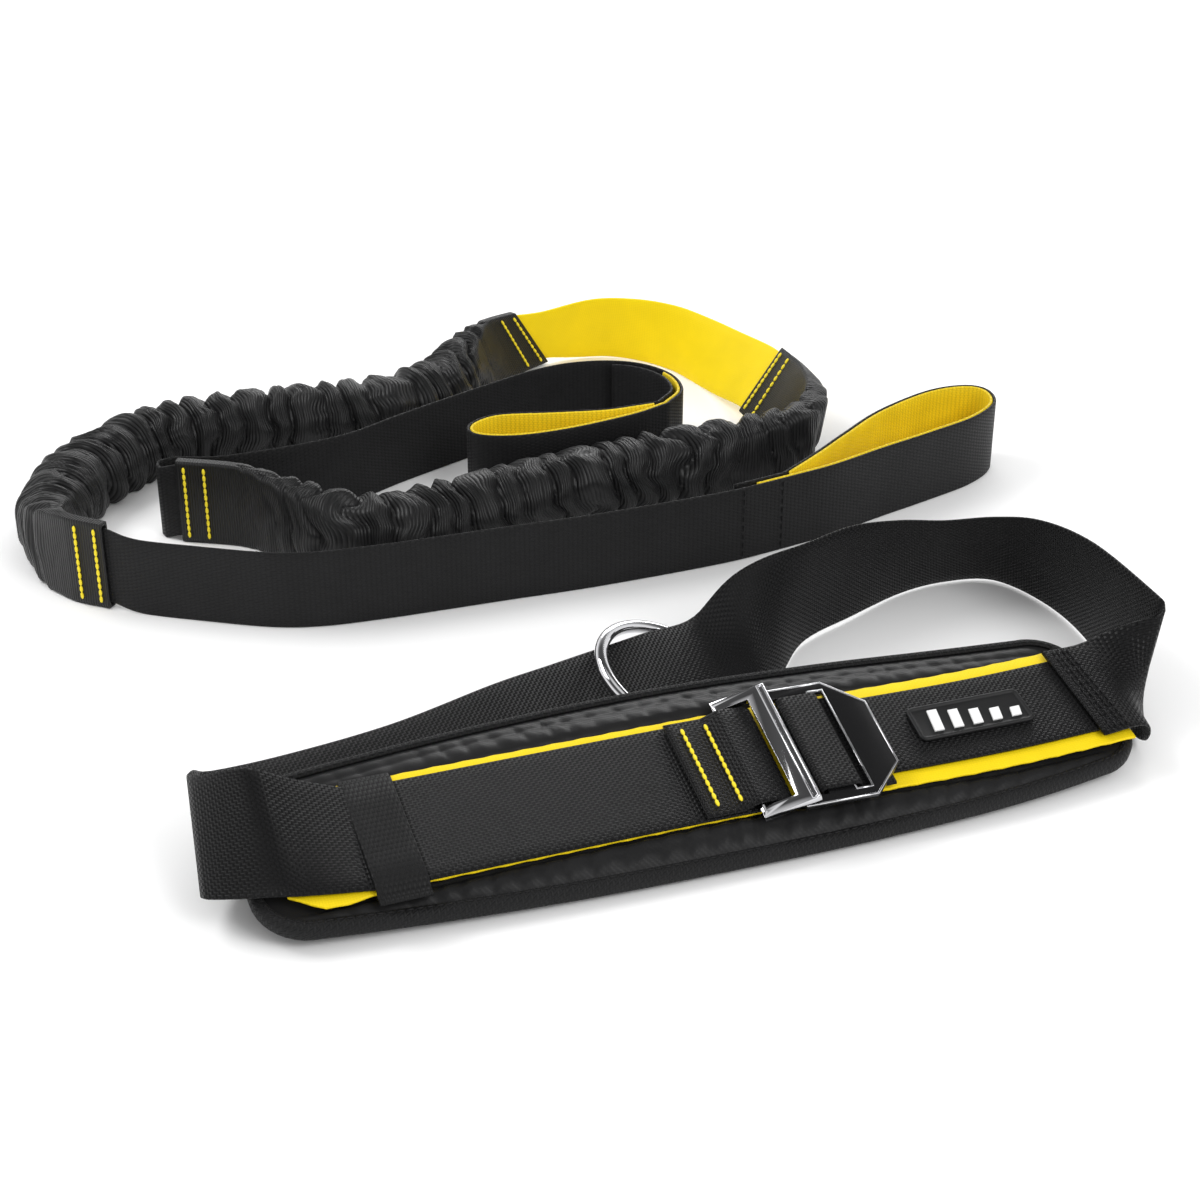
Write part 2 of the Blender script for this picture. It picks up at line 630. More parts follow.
belt_tape = cloth("black_belt_webbing", (0.0085, 0.0085, 0.009), 0.45, 860, 700, 0.5, 0.00028, 1.0,
                  sheen=0.01, specular=0.15, dark_gaps=0.75)
thin_tape = cloth("black_tether_tape", (0.0105, 0.0105, 0.011), 0.6, 1100, 430, 0.5, 0.0002, 0.8, sheen=0.01,
                  dark_gaps=0.6)
yellow_tape, stripe_tape = [cloth(name, colour, 0.62, 1000, 900, 0.5, 0.0001, 0.45, contrast=0.08, dark_gaps=0.12)
                            for name, colour in (("yellow_webbing", (0.95, 0.70, 0.003)),
                                                 ("yellow_stripe_webbing", (0.86, 0.635, 0.003)))]
lining_tape = cloth("yellow_lining", (0.86, 0.63, 0.012), 0.62, 1000, 430, 0.5, 0.0002, 0.6, contrast=0.2,
                    dark_gaps=0.35)
satin = cloth("black_satin", (0.0165, 0.0165, 0.017), 0.42, 1800, 1800, 0.25, 0.00005, 0.3, sheen=0.0, specular=0.10,
              dark_gaps=0.2)
edge_tape = cloth("edge_binding_tape", (0.011, 0.011, 0.0115), 0.68, 900, 900, 0.25, 0.0002, 0.9, dark_gaps=0.6)
gathered = cloth("gathered_ribbed_cloth", (0.0105, 0.0105, 0.011), 0.42, 400, 0, 0.0, 0.0004, 0.8, specular=0.32,
                 dark_gaps=0.75)
back_cloth = cloth("black_mesh_cloth", (0.014, 0.014, 0.0145), 0.75, 450, 450, 0.5, 0.0003, 1.0)
print("cloth materials made")

# %% [markdown]
# Metal and rubber. The chrome is nearly a mirror with faint smudges, the
# plate is black enamel with worn bright edges, and the badge is moulded
# rubber with a fine grain.

# %% Hard materials
SMUDGE_SCALE = 70.0
GRAIN_STRENGTH = 0.3


def plain(name, colour, roughness, metallic, grain_scale, grain_depth, smudge, coat=0.0, specular=0.5):
    """A smooth hard surface with faint smudges and a fine grain."""
    material, tree, shader = new_material(name, {
        "Base Color": (*colour, 1), "Metallic": metallic, "Coat Weight": coat, "Specular IOR Level": specular})
    spot = node_of(tree, "ShaderNodeTexCoord").outputs["Object"]
    wide = node_of(tree, "ShaderNodeTexNoise", {"Scale": SMUDGE_SCALE, "Detail": 4.0, "Vector": spot}).outputs["Fac"]
    fine = node_of(tree, "ShaderNodeTexNoise", {"Scale": grain_scale, "Vector": spot}).outputs["Fac"]
    bump = node_of(tree, "ShaderNodeBump", {"Strength": GRAIN_STRENGTH, "Distance": grain_depth, "Height": fine})
    feed(tree, shader, {"Roughness": calc(tree, "ADD", calc(tree, "MULTIPLY", wide, smudge), roughness),
                        "Normal": bump.outputs["Normal"]})
    return material


chrome = plain("polished_chrome", (0.72, 0.72, 0.74), 0.05, 1.0, 40.0, 0.00001, 0.04)
enamel = plain("black_enamel", (0.008, 0.008, 0.0085), 0.12, 0.0, 200.0, 0.00001, 0.08, coat=0.4)
rubber = plain("badge_rubber", (0.010, 0.010, 0.0105), 0.45, 0.0, 900.0, 0.00005, 0.1, specular=0.3)
mark = plain("badge_mark", (0.82, 0.82, 0.82), 0.5, 0.0, 900.0, 0.00003, 0.1)
yellow_thread = plain("yellow_thread", (0.93, 0.74, 0.02), 0.6, 0.0, 2500.0, 0.0001, 0.1)
black_thread = plain("black_thread", (0.012, 0.012, 0.0125), 0.6, 0.0, 2500.0, 0.0001, 0.1, specular=0.2)
print("hard materials made")

# %% [markdown]
# A strap's cross-section is a thin slab whose two edges are rounded, as the
# woven edge of real tape is. The section is swept along the rows, and each
# point remembers its place across and along the tape for the weave.

# %% Helpers for meshes
def put(name, points, faces, material, maps=None, smooth=True):
    """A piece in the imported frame. maps holds one (u, v) in metres for each point."""
    mesh = bpy.data.meshes.new(name)
    mesh.from_pydata([tuple(np.asarray(p) + SHIFT) for p in points], [], faces)
    if maps is not None:
        layer = mesh.uv_layers.new(name="strap_map")
        order = np.zeros(len(mesh.loops), int)
        mesh.loops.foreach_get("vertex_index", order)
        layer.data.foreach_set("uv", np.array(maps, float)[order].ravel())
    shaper = bmesh.new()
    shaper.from_mesh(mesh)
    bmesh.ops.recalc_face_normals(shaper, faces=shaper.faces)
    shaper.to_mesh(mesh)
    shaper.free()
    if smooth:
        mesh.shade_smooth()
    mesh.materials.append(material)
    return add_object(name, mesh)


def evaluated_mesh(item):
    """A plain mesh of an object with its modifiers worked in."""
    graph = bpy.context.evaluated_depsgraph_get()
    graph.update()
    return bpy.data.meshes.new_from_object(item.evaluated_get(graph), depsgraph=graph)


def tube_faces(rings, sides, closed=False, first=0):
    """Faces of a tube made of rings of points. It joins its own end, or has a cap at each end."""
    faces = []
    for k in range(rings if closed else rings - 1):
        a, b = first + k * sides, first + (k + 1) % rings * sides
        faces += [(a + j, a + (j + 1) % sides, b + (j + 1) % sides, b + j) for j in range(sides)]
    if closed:
        return faces
    last = first + (rings - 1) * sides
    return [tuple(range(first, first + sides))[::-1], *faces, tuple(range(last, last + sides))]


def tape_section(width, thickness, columns):
    """Corner points of a tape with rounded edges."""
    half, rise = width / 2, thickness / 2
    across = [(half - rise) * (2 * k / columns - 1) for k in range(columns + 1)]
    right = [(half - rise * 0.3, -rise * 0.7), (half, 0), (half - rise * 0.3, rise * 0.7)]
    section = [(a, -rise) for a in across] + right + [(a, rise) for a in reversed(across)]
    return section + [(-a, -b) for a, b in right]


def tape(name, rows, width, thickness, material, columns=8, edge_wave=0.0, wave_pitch=0.004, bulge=None):
    """A woven strap along the rows. bulge gives how far its lower edge stands out at a distance."""
    section = tape_section(width, thickness, columns)
    distances = lengths_along(rows)
    points, maps = [], []
    for (place, along, across, outward), distance in zip(frames_along(rows), distances):
        wave = 1 + edge_wave / width * math.sin(2 * math.pi * distance / wave_pitch)
        more = bulge(distance) if bulge else 0
        for a, b in section:
            spread = a * wave + 2 * more * min(a, 0) / width
            points.append(place + across * spread + outward * b)
            maps.append((a, distance + 0.5))
    print(name, "length", round(float(distances[-1]), 3), "m")
    return put(name, points, tube_faces(len(rows), len(section)), material, maps)

# %% [markdown]
# Stitches repeat along a line, so Geometry Nodes place them. The input is a
# plain edge line. The tree turns it into a curve, marks it at one pitch, and
# sets a small rounded stitch on every mark, turned along the line.

# %% Node tree: a sewn line
stitch_tree, given, result = new_group(
    "sewn_line", "GeometryNodeTree",
    [("Geometry", "Geometry", None), ("Pitch", "Float", 0.004), ("Stitch Length", "Float", 0.003),
     ("Thread Radius", "Float", 0.0004), ("Thread", "Material", None)],
    [("Geometry", "Geometry")])
curve = node_of(stitch_tree, "GeometryNodeMeshToCurve", {"Mesh": given["Geometry"]}).outputs["Curve"]
marks = node_of(stitch_tree, "GeometryNodeCurveToPoints", {"Curve": curve, "Length": given["Pitch"]}, mode="LENGTH")
size = node_of(stitch_tree, "ShaderNodeCombineXYZ", {
    "X": given["Thread Radius"], "Y": given["Thread Radius"],
    "Z": calc(stitch_tree, "MULTIPLY", given["Stitch Length"], 0.5)}).outputs[0]
bead = node_of(stitch_tree, "GeometryNodeMeshUVSphere", {"Segments": 8, "Rings": 6, "Radius": 1.0}).outputs["Mesh"]
stitch = node_of(stitch_tree, "GeometryNodeTransform", {"Geometry": bead, "Scale": size}).outputs["Geometry"]
turn_to = node_of(stitch_tree, "FunctionNodeAlignEulerToVector", {"Vector": marks.outputs["Tangent"]}, axis="Z")
placed = node_of(stitch_tree, "GeometryNodeInstanceOnPoints", {
    "Points": marks.outputs["Points"], "Instance": stitch, "Rotation": turn_to.outputs["Rotation"]})
real = node_of(stitch_tree, "GeometryNodeRealizeInstances", {"Geometry": placed.outputs["Instances"]})
smooth_beads = node_of(stitch_tree, "GeometryNodeSetShadeSmooth", {"Geometry": real.outputs["Geometry"]})
dyed = node_of(stitch_tree, "GeometryNodeSetMaterial", {
    "Geometry": smooth_beads.outputs["Geometry"], "Material": given["Thread"]})
feed(stitch_tree, result, {"Geometry": dyed.outputs["Geometry"]})
print("sewn line nodes:", len(stitch_tree.nodes))

# %% Sewing with that tree
def sew(name, lines, thread, pitch=0.0042, length=0.0032, radius=0.0004):
    """Plain mesh of the stitches along each line of points, given in the drawn frame."""
    points, edges = [], []
    for line in lines:
        first = len(points)
        points += [tuple(np.asarray(p) + SHIFT) for p in line]
        edges += [(k, k + 1) for k in range(first, len(points) - 1)]
    mesh = bpy.data.meshes.new(name + "_line")
    mesh.from_pydata(points, edges, [])
    source = add_object(name + "_line", mesh)
    step = source.modifiers.new("sewn_line", "NODES")
    step.node_group = stitch_tree
    values = {"Pitch": pitch, "Stitch Length": length, "Thread Radius": radius, "Thread": thread}
    for socket in stitch_tree.interface.items_tree:
        if socket.in_out == "INPUT" and socket.name in values:
            step[socket.identifier] = values[socket.name]
    made = evaluated_mesh(source)
    made.name = name
    if not made.materials:
        made.materials.append(thread)
    bpy.data.objects.remove(source)
    print(name, "faces", len(made.polygons))
    return add_object(name, made)


def lines_across(rows, distances, width, lift):
    """Lines of points across a strap, lifted off its middle layer, at distances along it."""
    return [[place + across * reach + outward * lift for reach in steps_between(-width / 2, width / 2, 12)]
            for place, along, across, outward in frames_at(rows, distances)]

# %% [markdown]
# The pad is foam between a satin front and a plain back, bound with tape. The
# satin is a little too large for the foam, so it puffs out in small gathers
# beside the yellow stripe. The folds come from a few waves of unlike length
# that slide as they cross the band, which keeps them from looking ruled.

# %% Front cover of the pad
def ridge(x):
    """Rounded crests with sharp valleys between them."""
    return 1 - abs(math.sin(x)) ** 0.8


def folds(distance, height, share):
    """Height of the satin's gathers, from 0 to 1, at a place on the pad."""
    drift = 0.007 * noise.noise(Vector((distance * 38, height * 12, 3.1)))
    lean = (height * 0.25 + drift) * (1 if height > 0 else -1)
    place = distance + lean + 0.0016 * noise.noise(Vector((distance * 90, height * 60, 7.7)))
    main = 1 - ridge(math.pi * place / 0.0105)
    fine = 1 - ridge(math.pi * (place + 0.0021) / 0.0046)
    amount = 0.5 + 0.5 * noise.noise(Vector((distance * 35, height * 25, 1.3)))
    near_seam = 0.6 + 0.4 * abs(2 * share - 1)
    return (0.75 * main + 0.25 * fine * near_seam) * (0.3 + 0.7 * amount)


def satin_rise(distance, height):
    """How far the satin stands off the pad. It puffs out below the stripe, and half as far above it."""
    fade = clamp((min(distance, PAD_LENGTH - distance) / PAD_CORNER_RADIUS - 0.55) * 2)
    limit = column_limit(distance, COVER_INSET) + COVER_INSET - TAPE_REACH
    low, high = WEB_RAISE - STRIPE_WIDTH / 2, WEB_RAISE + STRIPE_WIDTH / 2
    for start, end, swell, fold, sag, power in ((-limit, low, PUFF_HEIGHT, FOLD_HEIGHT, 1.5, 0.5),
                                                (high, limit, PUFF_HEIGHT * 0.5, FOLD_HEIGHT * 0.3, 1, 0.7)):
        if start < height < end:
            share = (height - start) / (end - start)
            room = min(1, (end - start) / (PUFF_HEIGHT * 3))
            dome = math.sin(math.pi * share ** sag) ** power
            return fade * room * dome * (swell + fold * 2 * (folds(distance, height, share) - 0.5))
    return 0


def even_columns(inset, step):
    """Distances along the pad, closer together in its round corners."""
    radius = PAD_CORNER_RADIUS - inset
    left = [PAD_CORNER_RADIUS - radius * math.cos(math.radians(9 * k)) for k in range(10)]
    count = round((PAD_LENGTH - 2 * PAD_CORNER_RADIUS) / step)
    middle = steps_between(PAD_CORNER_RADIUS, PAD_LENGTH - PAD_CORNER_RADIUS, count)
    return left + middle + [PAD_LENGTH - d for d in reversed(left)]


def cover_on_pad(name, side, step, heights, rise, material):
    """A thin closed cover on one side of the pad. rise gives how far it stands off at a place."""
    columns = even_columns(COVER_INSET, step)
    inner, outer, maps = [], [], []
    for distance in columns:
        limit = column_limit(distance, COVER_INSET)
        for height in (share * limit for share in heights):
            level = foam_half(edge_distance(distance, height) + FOAM_ROOM) + GAP
            inner.append(pad_point(distance, height, side * level))
            outer.append(pad_point(distance, height, side * (level + COVER_THICKNESS + rise(distance, height))))
            maps.append((height, distance))
    rows, wide = len(columns), len(heights)
    top = rows * wide
    faces = []
    for i in range(rows - 1):
        for a in range(i * wide, i * wide + wide - 1):
            b, c, d = a + wide, a + wide + 1, a + 1
            faces += [(a, d, c, b), (top + a, top + b, top + c, top + d)]
    rim = [i * wide for i in range(rows)] + [(rows - 1) * wide + j for j in range(1, wide)]
    rim += [i * wide + wide - 1 for i in range(rows - 2, -1, -1)] + list(range(wide - 2, 0, -1))
    faces += [(a, b, top + b, top + a) for a, b in zip(rim, rim[1:] + rim[:1])]
    return put(name, inner + outer if side > 0 else outer + inner, faces, material, maps * 2)


cover_shares = [math.copysign(1 - (1 - abs(t)) ** 1.15, t) for t in np.linspace(-1, 1, 101)]
front = cover_on_pad("satin_front", 1, 0.0012, cover_shares, satin_rise, satin)
back = cover_on_pad("mesh_back", -1, 0.004, list(np.linspace(-1, 1, 41)),
                    lambda d, h: 0.0002 * noise.noise(Vector((d * 60, h * 60, 0))), back_cloth)
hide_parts("pad_front_cover", "pad_foam")
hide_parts("pad_back_cover")
print("front cover faces", len(front.data.polygons))

# %% [markdown]
# The binding is a folded tape that takes in the edges of both covers. It is a
# rounded U in section, swept round the pad's outline, with a sewn line near
# its inner edge.

# %% Binding tape
BINDING_INNER = FOAM_RIM_THICKNESS / 2 + COVER_THICKNESS + 3 * GAP
BINDING_OUTER = BINDING_INNER + TAPE_WALL
BINDING_SEAM_INSET = TAPE_REACH - 0.0013
BINDING_SEAM_LEVEL = BINDING_OUTER + 0.00025
half_section = [(TAPE_REACH, 0.90), (TAPE_REACH * 0.95, 1.0), (TAPE_REACH * 0.7, 1.06), (0.0022, 1.05), (0.0012, 0.95),
                (0.0005, 0.72), (0.0001, 0.4)]


def loop_on_pad(inset, out):
    """Points round the pad, inside an inset."""
    columns = even_columns(inset, 0.002)
    outline = [(d, -column_limit(d, inset)) for d in columns] + [(d, column_limit(d, inset)) for d in reversed(columns)]
    return [pad_point(d, h, out) for d, h in outline]


section = [(inset, BINDING_OUTER * share) for inset, share in half_section]
section += [(inset, -out) for inset, out in reversed(section)]
section += [(TAPE_REACH, -BINDING_INNER), (TAPE_WALL * 2, -BINDING_INNER), (TAPE_WALL * 2, BINDING_INNER),
            (TAPE_REACH, BINDING_INNER)]
loops = [loop_on_pad(inset, out) for inset, out in section]
walk = lengths_along(loops[3])
girth = lengths_along([(inset, out, 0) for inset, out in section])
binding = put("edge_binding", [p for loop in loops for p in loop], tube_faces(len(loops), len(walk), closed=True),
              edge_tape, [(reach + 0.7 * v, v) for reach in girth for v in walk])
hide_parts("pad_binding")
seam = loop_on_pad(BINDING_SEAM_INSET, BINDING_SEAM_LEVEL)
binding_seam = sew("binding_seam", [seam + seam[:1]], black_thread, pitch=0.0036, length=0.0026, radius=0.00038)

# %% [markdown]
# The yellow stripe and the black webbings lie flat on the pad in layers. The
# long waist strap starts under a box of stitches at the pad's right end,
# stands on edge behind the pad, and comes back over the left end to the
# buckle. Its fold round the frame's bar and its short tail are part of it.

# %% Straps of the belt
SETTLING = ((0.008, 0.0098, 0.50), (0.021, 0.0062, 0.26), (0.035, 0.0028, 0.10))
STRAP_MARGIN = PAD_CORNER_RADIUS / 4
STRIPE_START = STRAP_MARGIN + 0.007


def stripe_bulge(distance):
    """The stripe's lower edge swells near its left end, and is drawn in at the end itself."""
    return 0.0024 * math.sin(math.pi * clamp(distance / 0.034)) - 0.006 * max(0, 1 - distance / 0.012)


stripe = tape("yellow_stripe", pad_run(STRIPE_START, PAD_LENGTH - STRAP_MARGIN, WEB_RAISE, STRIPE_LEVEL),
              STRIPE_WIDTH, STRIPE_THICKNESS, stripe_tape, edge_wave=0.0004, wave_pitch=0.006, bulge=stripe_bulge)
pad_band = tape("pad_webbing_band", pad_run(PLATE_LEFT + PLATE_BAR, PAD_LENGTH - STRAP_MARGIN, WEB_RAISE, WEB_LEVEL),
                PAD_WEBBING_WIDTH, BELT_THICKNESS, belt_tape)
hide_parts("stripe_webbing")
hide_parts("pad_webbing")


def wide_run(start, end, height, out):
    """Every third row of a run on the pad, the last of them moved to its end."""
    return pad_run(start, end, height, out)[::3][:-1] + [pad_row(end, height, out)]


def waist_rows():
    """The waist strap's rows. SETTLING holds places where it comes down on the pad: distance, rise and stand."""
    rows = wide_run(STRAP_END_SHARE * PAD_LENGTH, PAD_LENGTH, WEB_RAISE, TAIL_LEVEL)
    rows += route_rows(WAIST_ROUTE_SHARES, BELT_SPAN, BELT_WIDTH) + ring_stretch()
    rows += route_rows(LEFT_RUN_SHARES, BELT_SPAN, BELT_WIDTH)
    for distance, rise, stand in SETTLING:
        row = pad_row(distance, STRAP_RAISE + rise / 2, WEB_LEVEL + rise)
        row[3:6] = unit(row[3:6] + stand * UP)
        rows.append(row)
    rows += wide_run(LAY_DOWN, FRAME_BAR - WRAP_RADIUS, STRAP_RAISE, WEB_LEVEL)
    wrap = [pad_row(FRAME_BAR + FOLD_REACH * math.sin(turn), STRAP_RAISE, BAR_LEVEL - WRAP_RADIUS * math.cos(turn))
            for turn in steps_between(0, math.pi, 16)[1:-1]]
    fall = pad_row(FRAME_BAR - WRAP_RADIUS / 2, STRAP_RAISE, BAR_LEVEL + WRAP_RADIUS)
    tail = [pad_row(distance, STRAP_RAISE, TAIL_LEVEL)
            for distance in steps_between(FRAME_BAR - 3 * WRAP_RADIUS, FRAME_BAR - TAIL_LENGTH, 5)]
    return smooth_rows(rows, STRAP_STEP) + wrap + [fall] + tail


belt_rows = waist_rows()
belt = tape("waist_webbing", belt_rows, BELT_WIDTH, BELT_THICKNESS, belt_tape, columns=10)
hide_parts("waist_strap")
seam_at = lengths_along(belt_rows)[-1] - STITCH_MARGIN * 1.5
tail_seam = sew("tail_seam", lines_across(belt_rows, (seam_at, seam_at - SEAM_SPACING), BELT_WIDTH - TAIL_SEAM_ROOM,
                                          -BELT_THICKNESS / 2 - SEAM_LIFT), yellow_thread, *YELLOW_STITCH)
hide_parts("tail_stitches")
box_end = (BOX_STITCH_SHARE - STRAP_END_SHARE) * PAD_LENGTH
box_places = [start + step for start in (STITCH_MARGIN, box_end) for step in (0, BOX_ROW_SPACING)]
box_seam = sew("box_seam", lines_across(belt_rows, box_places, BELT_WIDTH - STRAP_SEAM_ROOM,
                                        BELT_THICKNESS / 2 + SEAM_LIFT), black_thread, pitch=0.0036, length=0.0028)
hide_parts("box_stitches")

# %% Keeper and the loop round the plate's bar
KEEPER_TURN_IN = 0.0015
over = WEB_LEVEL + (BELT_THICKNESS + KEEPER_THICKNESS) / 2 + GAP
foot = STRIPE_LEVEL + (STRIPE_THICKNESS + KEEPER_THICKNESS) / 2 + GAP
half = BELT_WIDTH / 2 + EDGE_ROOM
reach = STRIPE_WIDTH / 2 + WEB_RAISE - STRAP_RAISE
keeper_line = [(reach, foot), (half + over - foot, foot), (half, over), (half / 2, over), (0, over), (-half / 2, over),
               (-half, over), (foot - over - half, foot), (WEB_RAISE + KEEPER_TURN_IN - reach, foot)]
middle_place, pad_along, pad_across, pad_out = pad_axes(KEEPER_SHARE * PAD_LENGTH)
keeper_rows = [np.concatenate([middle_place + pad_across * (STRAP_RAISE + height) + pad_out * out, pad_along])
               for height, out in keeper_line]
keeper = tape("keeper", keeper_rows, KEEPER_WIDTH, KEEPER_THICKNESS, thin_tape, columns=6)
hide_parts("keeper_loop")

left_edge = PLATE_LEFT + PLATE_BAR + PLATE_WINDOW
right_edge = left_edge + PLATE_WEB_BAR
corner = PLATE_THICKNESS / 2 + GAP + BELT_THICKNESS / 2
loop_line = [(PLATE_HINGE - GAP, LOOP_LEVEL), (right_edge, LOOP_LEVEL)]
for edge, reach, last, count in ((left_edge, -corner, math.pi, 16), (right_edge, corner, math.pi / 2, 8)):
    loop_line += [(edge + reach * math.sin(turn), PLATE_LEVEL + reach * math.cos(turn))
                  for turn in steps_between(0, last, count)]
loop_line.append((right_edge + corner, LOOP_LEVEL + LAYER_STEP / 2 + GAP))
bar_loop = tape("plate_webbing", [pad_row(distance, STRAP_RAISE, out) for distance, out in loop_line], BELT_WIDTH,
                BELT_THICKNESS, belt_tape)
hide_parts("plate_loop")

# %% [markdown]
# The badge is moulded rubber with a raised rim round a flat field. It could be
# cut from a block, but a few copies of one outline, each smaller and at its
# own height, make the rounded rim in one closed mesh. Five plain slanting
# bars of falling height stand on the field, as raised marks do on rubber.

# %% Badge
BADGE_CORNER = 0.0028
BADGE_PROFILE = ((0, 0), (0, 0.0011), (-0.0003, 0.0015), (-0.0009, 0.0016), (-0.0014, 0.0015), (-0.0017, 0.0011),
                 (-0.0022, 0.0010))
MARK_PROFILE = ((0, 0.0010), (0, 0.0016), (0.0004, 0.0019))
MARK_WIDTH = 0.0042
MARK_LEAN = 0.0012


def on_badge(x, y, lift):
    """A place over the webbing, measured from the badge's middle."""
    return pad_point(BADGE_SHARE * PAD_LENGTH + x, y + WEB_RAISE, WEB_LEVEL + BELT_THICKNESS / 2 + GAP + lift)


def badge_outline(grow):
    """The badge's outline, grown by an amount."""
    turn = max(BADGE_CORNER + grow, 0.0004)
    x, y = BADGE_LENGTH / 2 + grow - turn, BADGE_HEIGHT / 2 + grow - turn
    return [(cx * x + turn * math.cos(math.radians(angle)), cy * y + turn * math.sin(math.radians(angle)))
            for cx, cy, start in ((1, 1, 0), (-1, 1, 90), (-1, -1, 180), (1, -1, 270))
            for angle in steps_between(start, start + 90, 5)]


rings = [(x, y, lift) for grow, lift in BADGE_PROFILE for x, y in badge_outline(grow)]
badge = put("badge_plate", [on_badge(*place) for place in rings],
            tube_faces(len(BADGE_PROFILE), len(rings) // len(BADGE_PROFILE)), rubber, [(x, y) for x, y, lift in rings])
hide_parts("badge")
mark_points, mark_faces = [], []
for k in range(5):
    x, y = BADGE_LENGTH * (0.17 * k - 0.36), -BADGE_HEIGHT * 0.3
    tall = BADGE_HEIGHT * (0.62 - 0.09 * k)
    corners = [(x, y), (x + MARK_WIDTH, y), (x + MARK_WIDTH + MARK_LEAN, y + tall), (x + MARK_LEAN, y + tall)]
    mx, my = x + (MARK_WIDTH + MARK_LEAN) / 2, y + tall / 2
    mark_faces += tube_faces(len(MARK_PROFILE), 4, first=len(mark_points))
    mark_points += [on_badge(cx + math.copysign(inset, mx - cx), cy + math.copysign(inset, my - cy), lift)
                    for inset, lift in MARK_PROFILE for cx, cy in corners]
badge_bars = put("badge_bar_marks", mark_points, mark_faces, mark, smooth=False)
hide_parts("badge_bars")

# %% [markdown]
# The buckle is die cast, plated and polished, so its edges are soft. The
# solids have the right shape with sharp edges. A copy of each is merged,
# cleaned and given a small bevel, which catches the light.

# %% Buckle and ring
EDGE_INSET = 0.0005
BEAD_SIDES = 6
RING_AROUND = 96
RING_SIDES = 20


def softened(node, name, material, width):
    """A clean copy of a rigid node with bevelled edges."""
    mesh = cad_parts[node].data.copy()
    mesh.name = name
    shaper = bmesh.new()
    shaper.from_mesh(mesh)
    bmesh.ops.remove_doubles(shaper, verts=shaper.verts, dist=0.00002)
    bmesh.ops.dissolve_limit(shaper, angle_limit=math.radians(2), verts=shaper.verts, edges=shaper.edges)
    bmesh.ops.recalc_face_normals(shaper, faces=shaper.faces)
    shaper.to_mesh(mesh)
    shaper.free()
    mesh.materials.clear()
    mesh.materials.append(material)
    item = add_object(name, mesh)
    step = item.modifiers.new("soft_edges", "BEVEL")
    step.width = width
    step.segments = 3
    step.limit_method = "ANGLE"
    step.angle_limit = math.radians(35)
    step.harden_normals = True
    mesh.shade_smooth()
    made = evaluated_mesh(item)
    item.modifiers.clear()
    item.data = made
    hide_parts(node)
    return item


hook = softened("hook_frame", "hook_frame_chrome", chrome, 0.0005)
plate = softened("slot_plate", "slot_plate_enamel", enamel, 0.0006)


def bead_line(name, outlines, up, radius):
    """Thin round chrome beads along closed outlines with sharp corners. up stands square on the outlines."""
    points, faces = [], []
    for outline in outlines:
        faces += tube_faces(len(outline), BEAD_SIDES, closed=True, first=len(points))
        for before, here, after in zip(outline[-1:] + outline[:-1], outline, outline[1:] + outline[:1]):
            ahead = unit(after - here)
            turn_in = unit(unit(here - before) + ahead)
            sideways = unit(np.cross(turn_in, up)) / max(abs(float(np.dot(ahead, turn_in))), 0.3)
            points += [here + (sideways * math.cos(roll) + up * math.sin(roll)) * radius for roll in turns(BEAD_SIDES)]
    return put(name, points, faces, chrome)


bar_middle, bar_along, bar_across, bar_out = pad_axes(FRAME_BAR)
tilt = math.radians(FRAME_TILT_DEG)
frame_x = bar_along * math.cos(tilt) + bar_out * math.sin(tilt)
frame_up = unit(bar_out * math.cos(tilt) - bar_along * math.sin(tilt))
frame_middle = bar_middle + bar_across * STRAP_RAISE + bar_out * BAR_LEVEL + frame_up * FRAME_THICKNESS / 2
inner, outer = BELT_WIDTH / 2 + EDGE_ROOM, BELT_WIDTH / 2 + EDGE_ROOM + BUCKLE_ARM
high = outer - 0.0007
head = [frame_middle + frame_x * (FRAME_LENGTH - x) + bar_across * y
        for x, y in ((0.0006, -high), (0.0006, high), (0.0030, high), (0.0030, -high))]
frame_edges = bead_line("frame_bright_edges", [head], frame_up, 0.0005)

hinge_middle, hinge_along, hinge_across, hinge_out = pad_axes(PLATE_HINGE)
left = PLATE_LEFT - PLATE_HINGE
x1, x2, y = left + EDGE_INSET, left + PLATE_LENGTH - EDGE_INSET, outer - EDGE_INSET
rim = [(x1, -y), (x2 - PLATE_CHAMFER, -y), (x2, PLATE_CHAMFER - y), (x2, y - PLATE_CHAMFER), (x2 - PLATE_CHAMFER, y),
       (x1, y)]
slot_left = left + PLATE_BAR + PLATE_WINDOW + PLATE_WEB_BAR
x1, x2, y = slot_left - EDGE_INSET, slot_left + PLATE_SLOT + EDGE_INSET, inner + EDGE_INSET
face = hinge_middle + hinge_across * STRAP_RAISE + hinge_out * (PLATE_LEVEL + PLATE_THICKNESS / 2)
plate_lines = [[face + hinge_along * x + hinge_across * y for x, y in line]
               for line in (rim, [(x1, -y), (x2, -y), (x2, y), (x1, y)])]
plate_edges = bead_line("plate_bright_edges", plate_lines, unit(hinge_out), 0.00045)

travel = unit(stretch[-1][:3] - stretch[0][:3])
ring_across = stretch[0][3:6]
swing = math.radians(RING_SWING_DEG)
side = travel * math.cos(swing) + np.cross(-travel, ring_across) * math.sin(swing)
normal = np.cross(ring_across, side)
radius = BELT_WIDTH / 2 + RING_PLAY + RING_WIRE / 2
spokes = [ring_across * math.cos(turn) + side * math.sin(turn) for turn in turns(RING_AROUND)]
ring_points = [ring_place + spoke * (radius + RING_WIRE / 2 * math.cos(roll)) + normal * RING_WIRE / 2 * math.sin(roll)
               for spoke in spokes for roll in turns(RING_SIDES)]
tow_ring = put("tow_ring_chrome", ring_points, tube_faces(RING_AROUND, RING_SIDES, closed=True), chrome)
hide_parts("tow_ring")

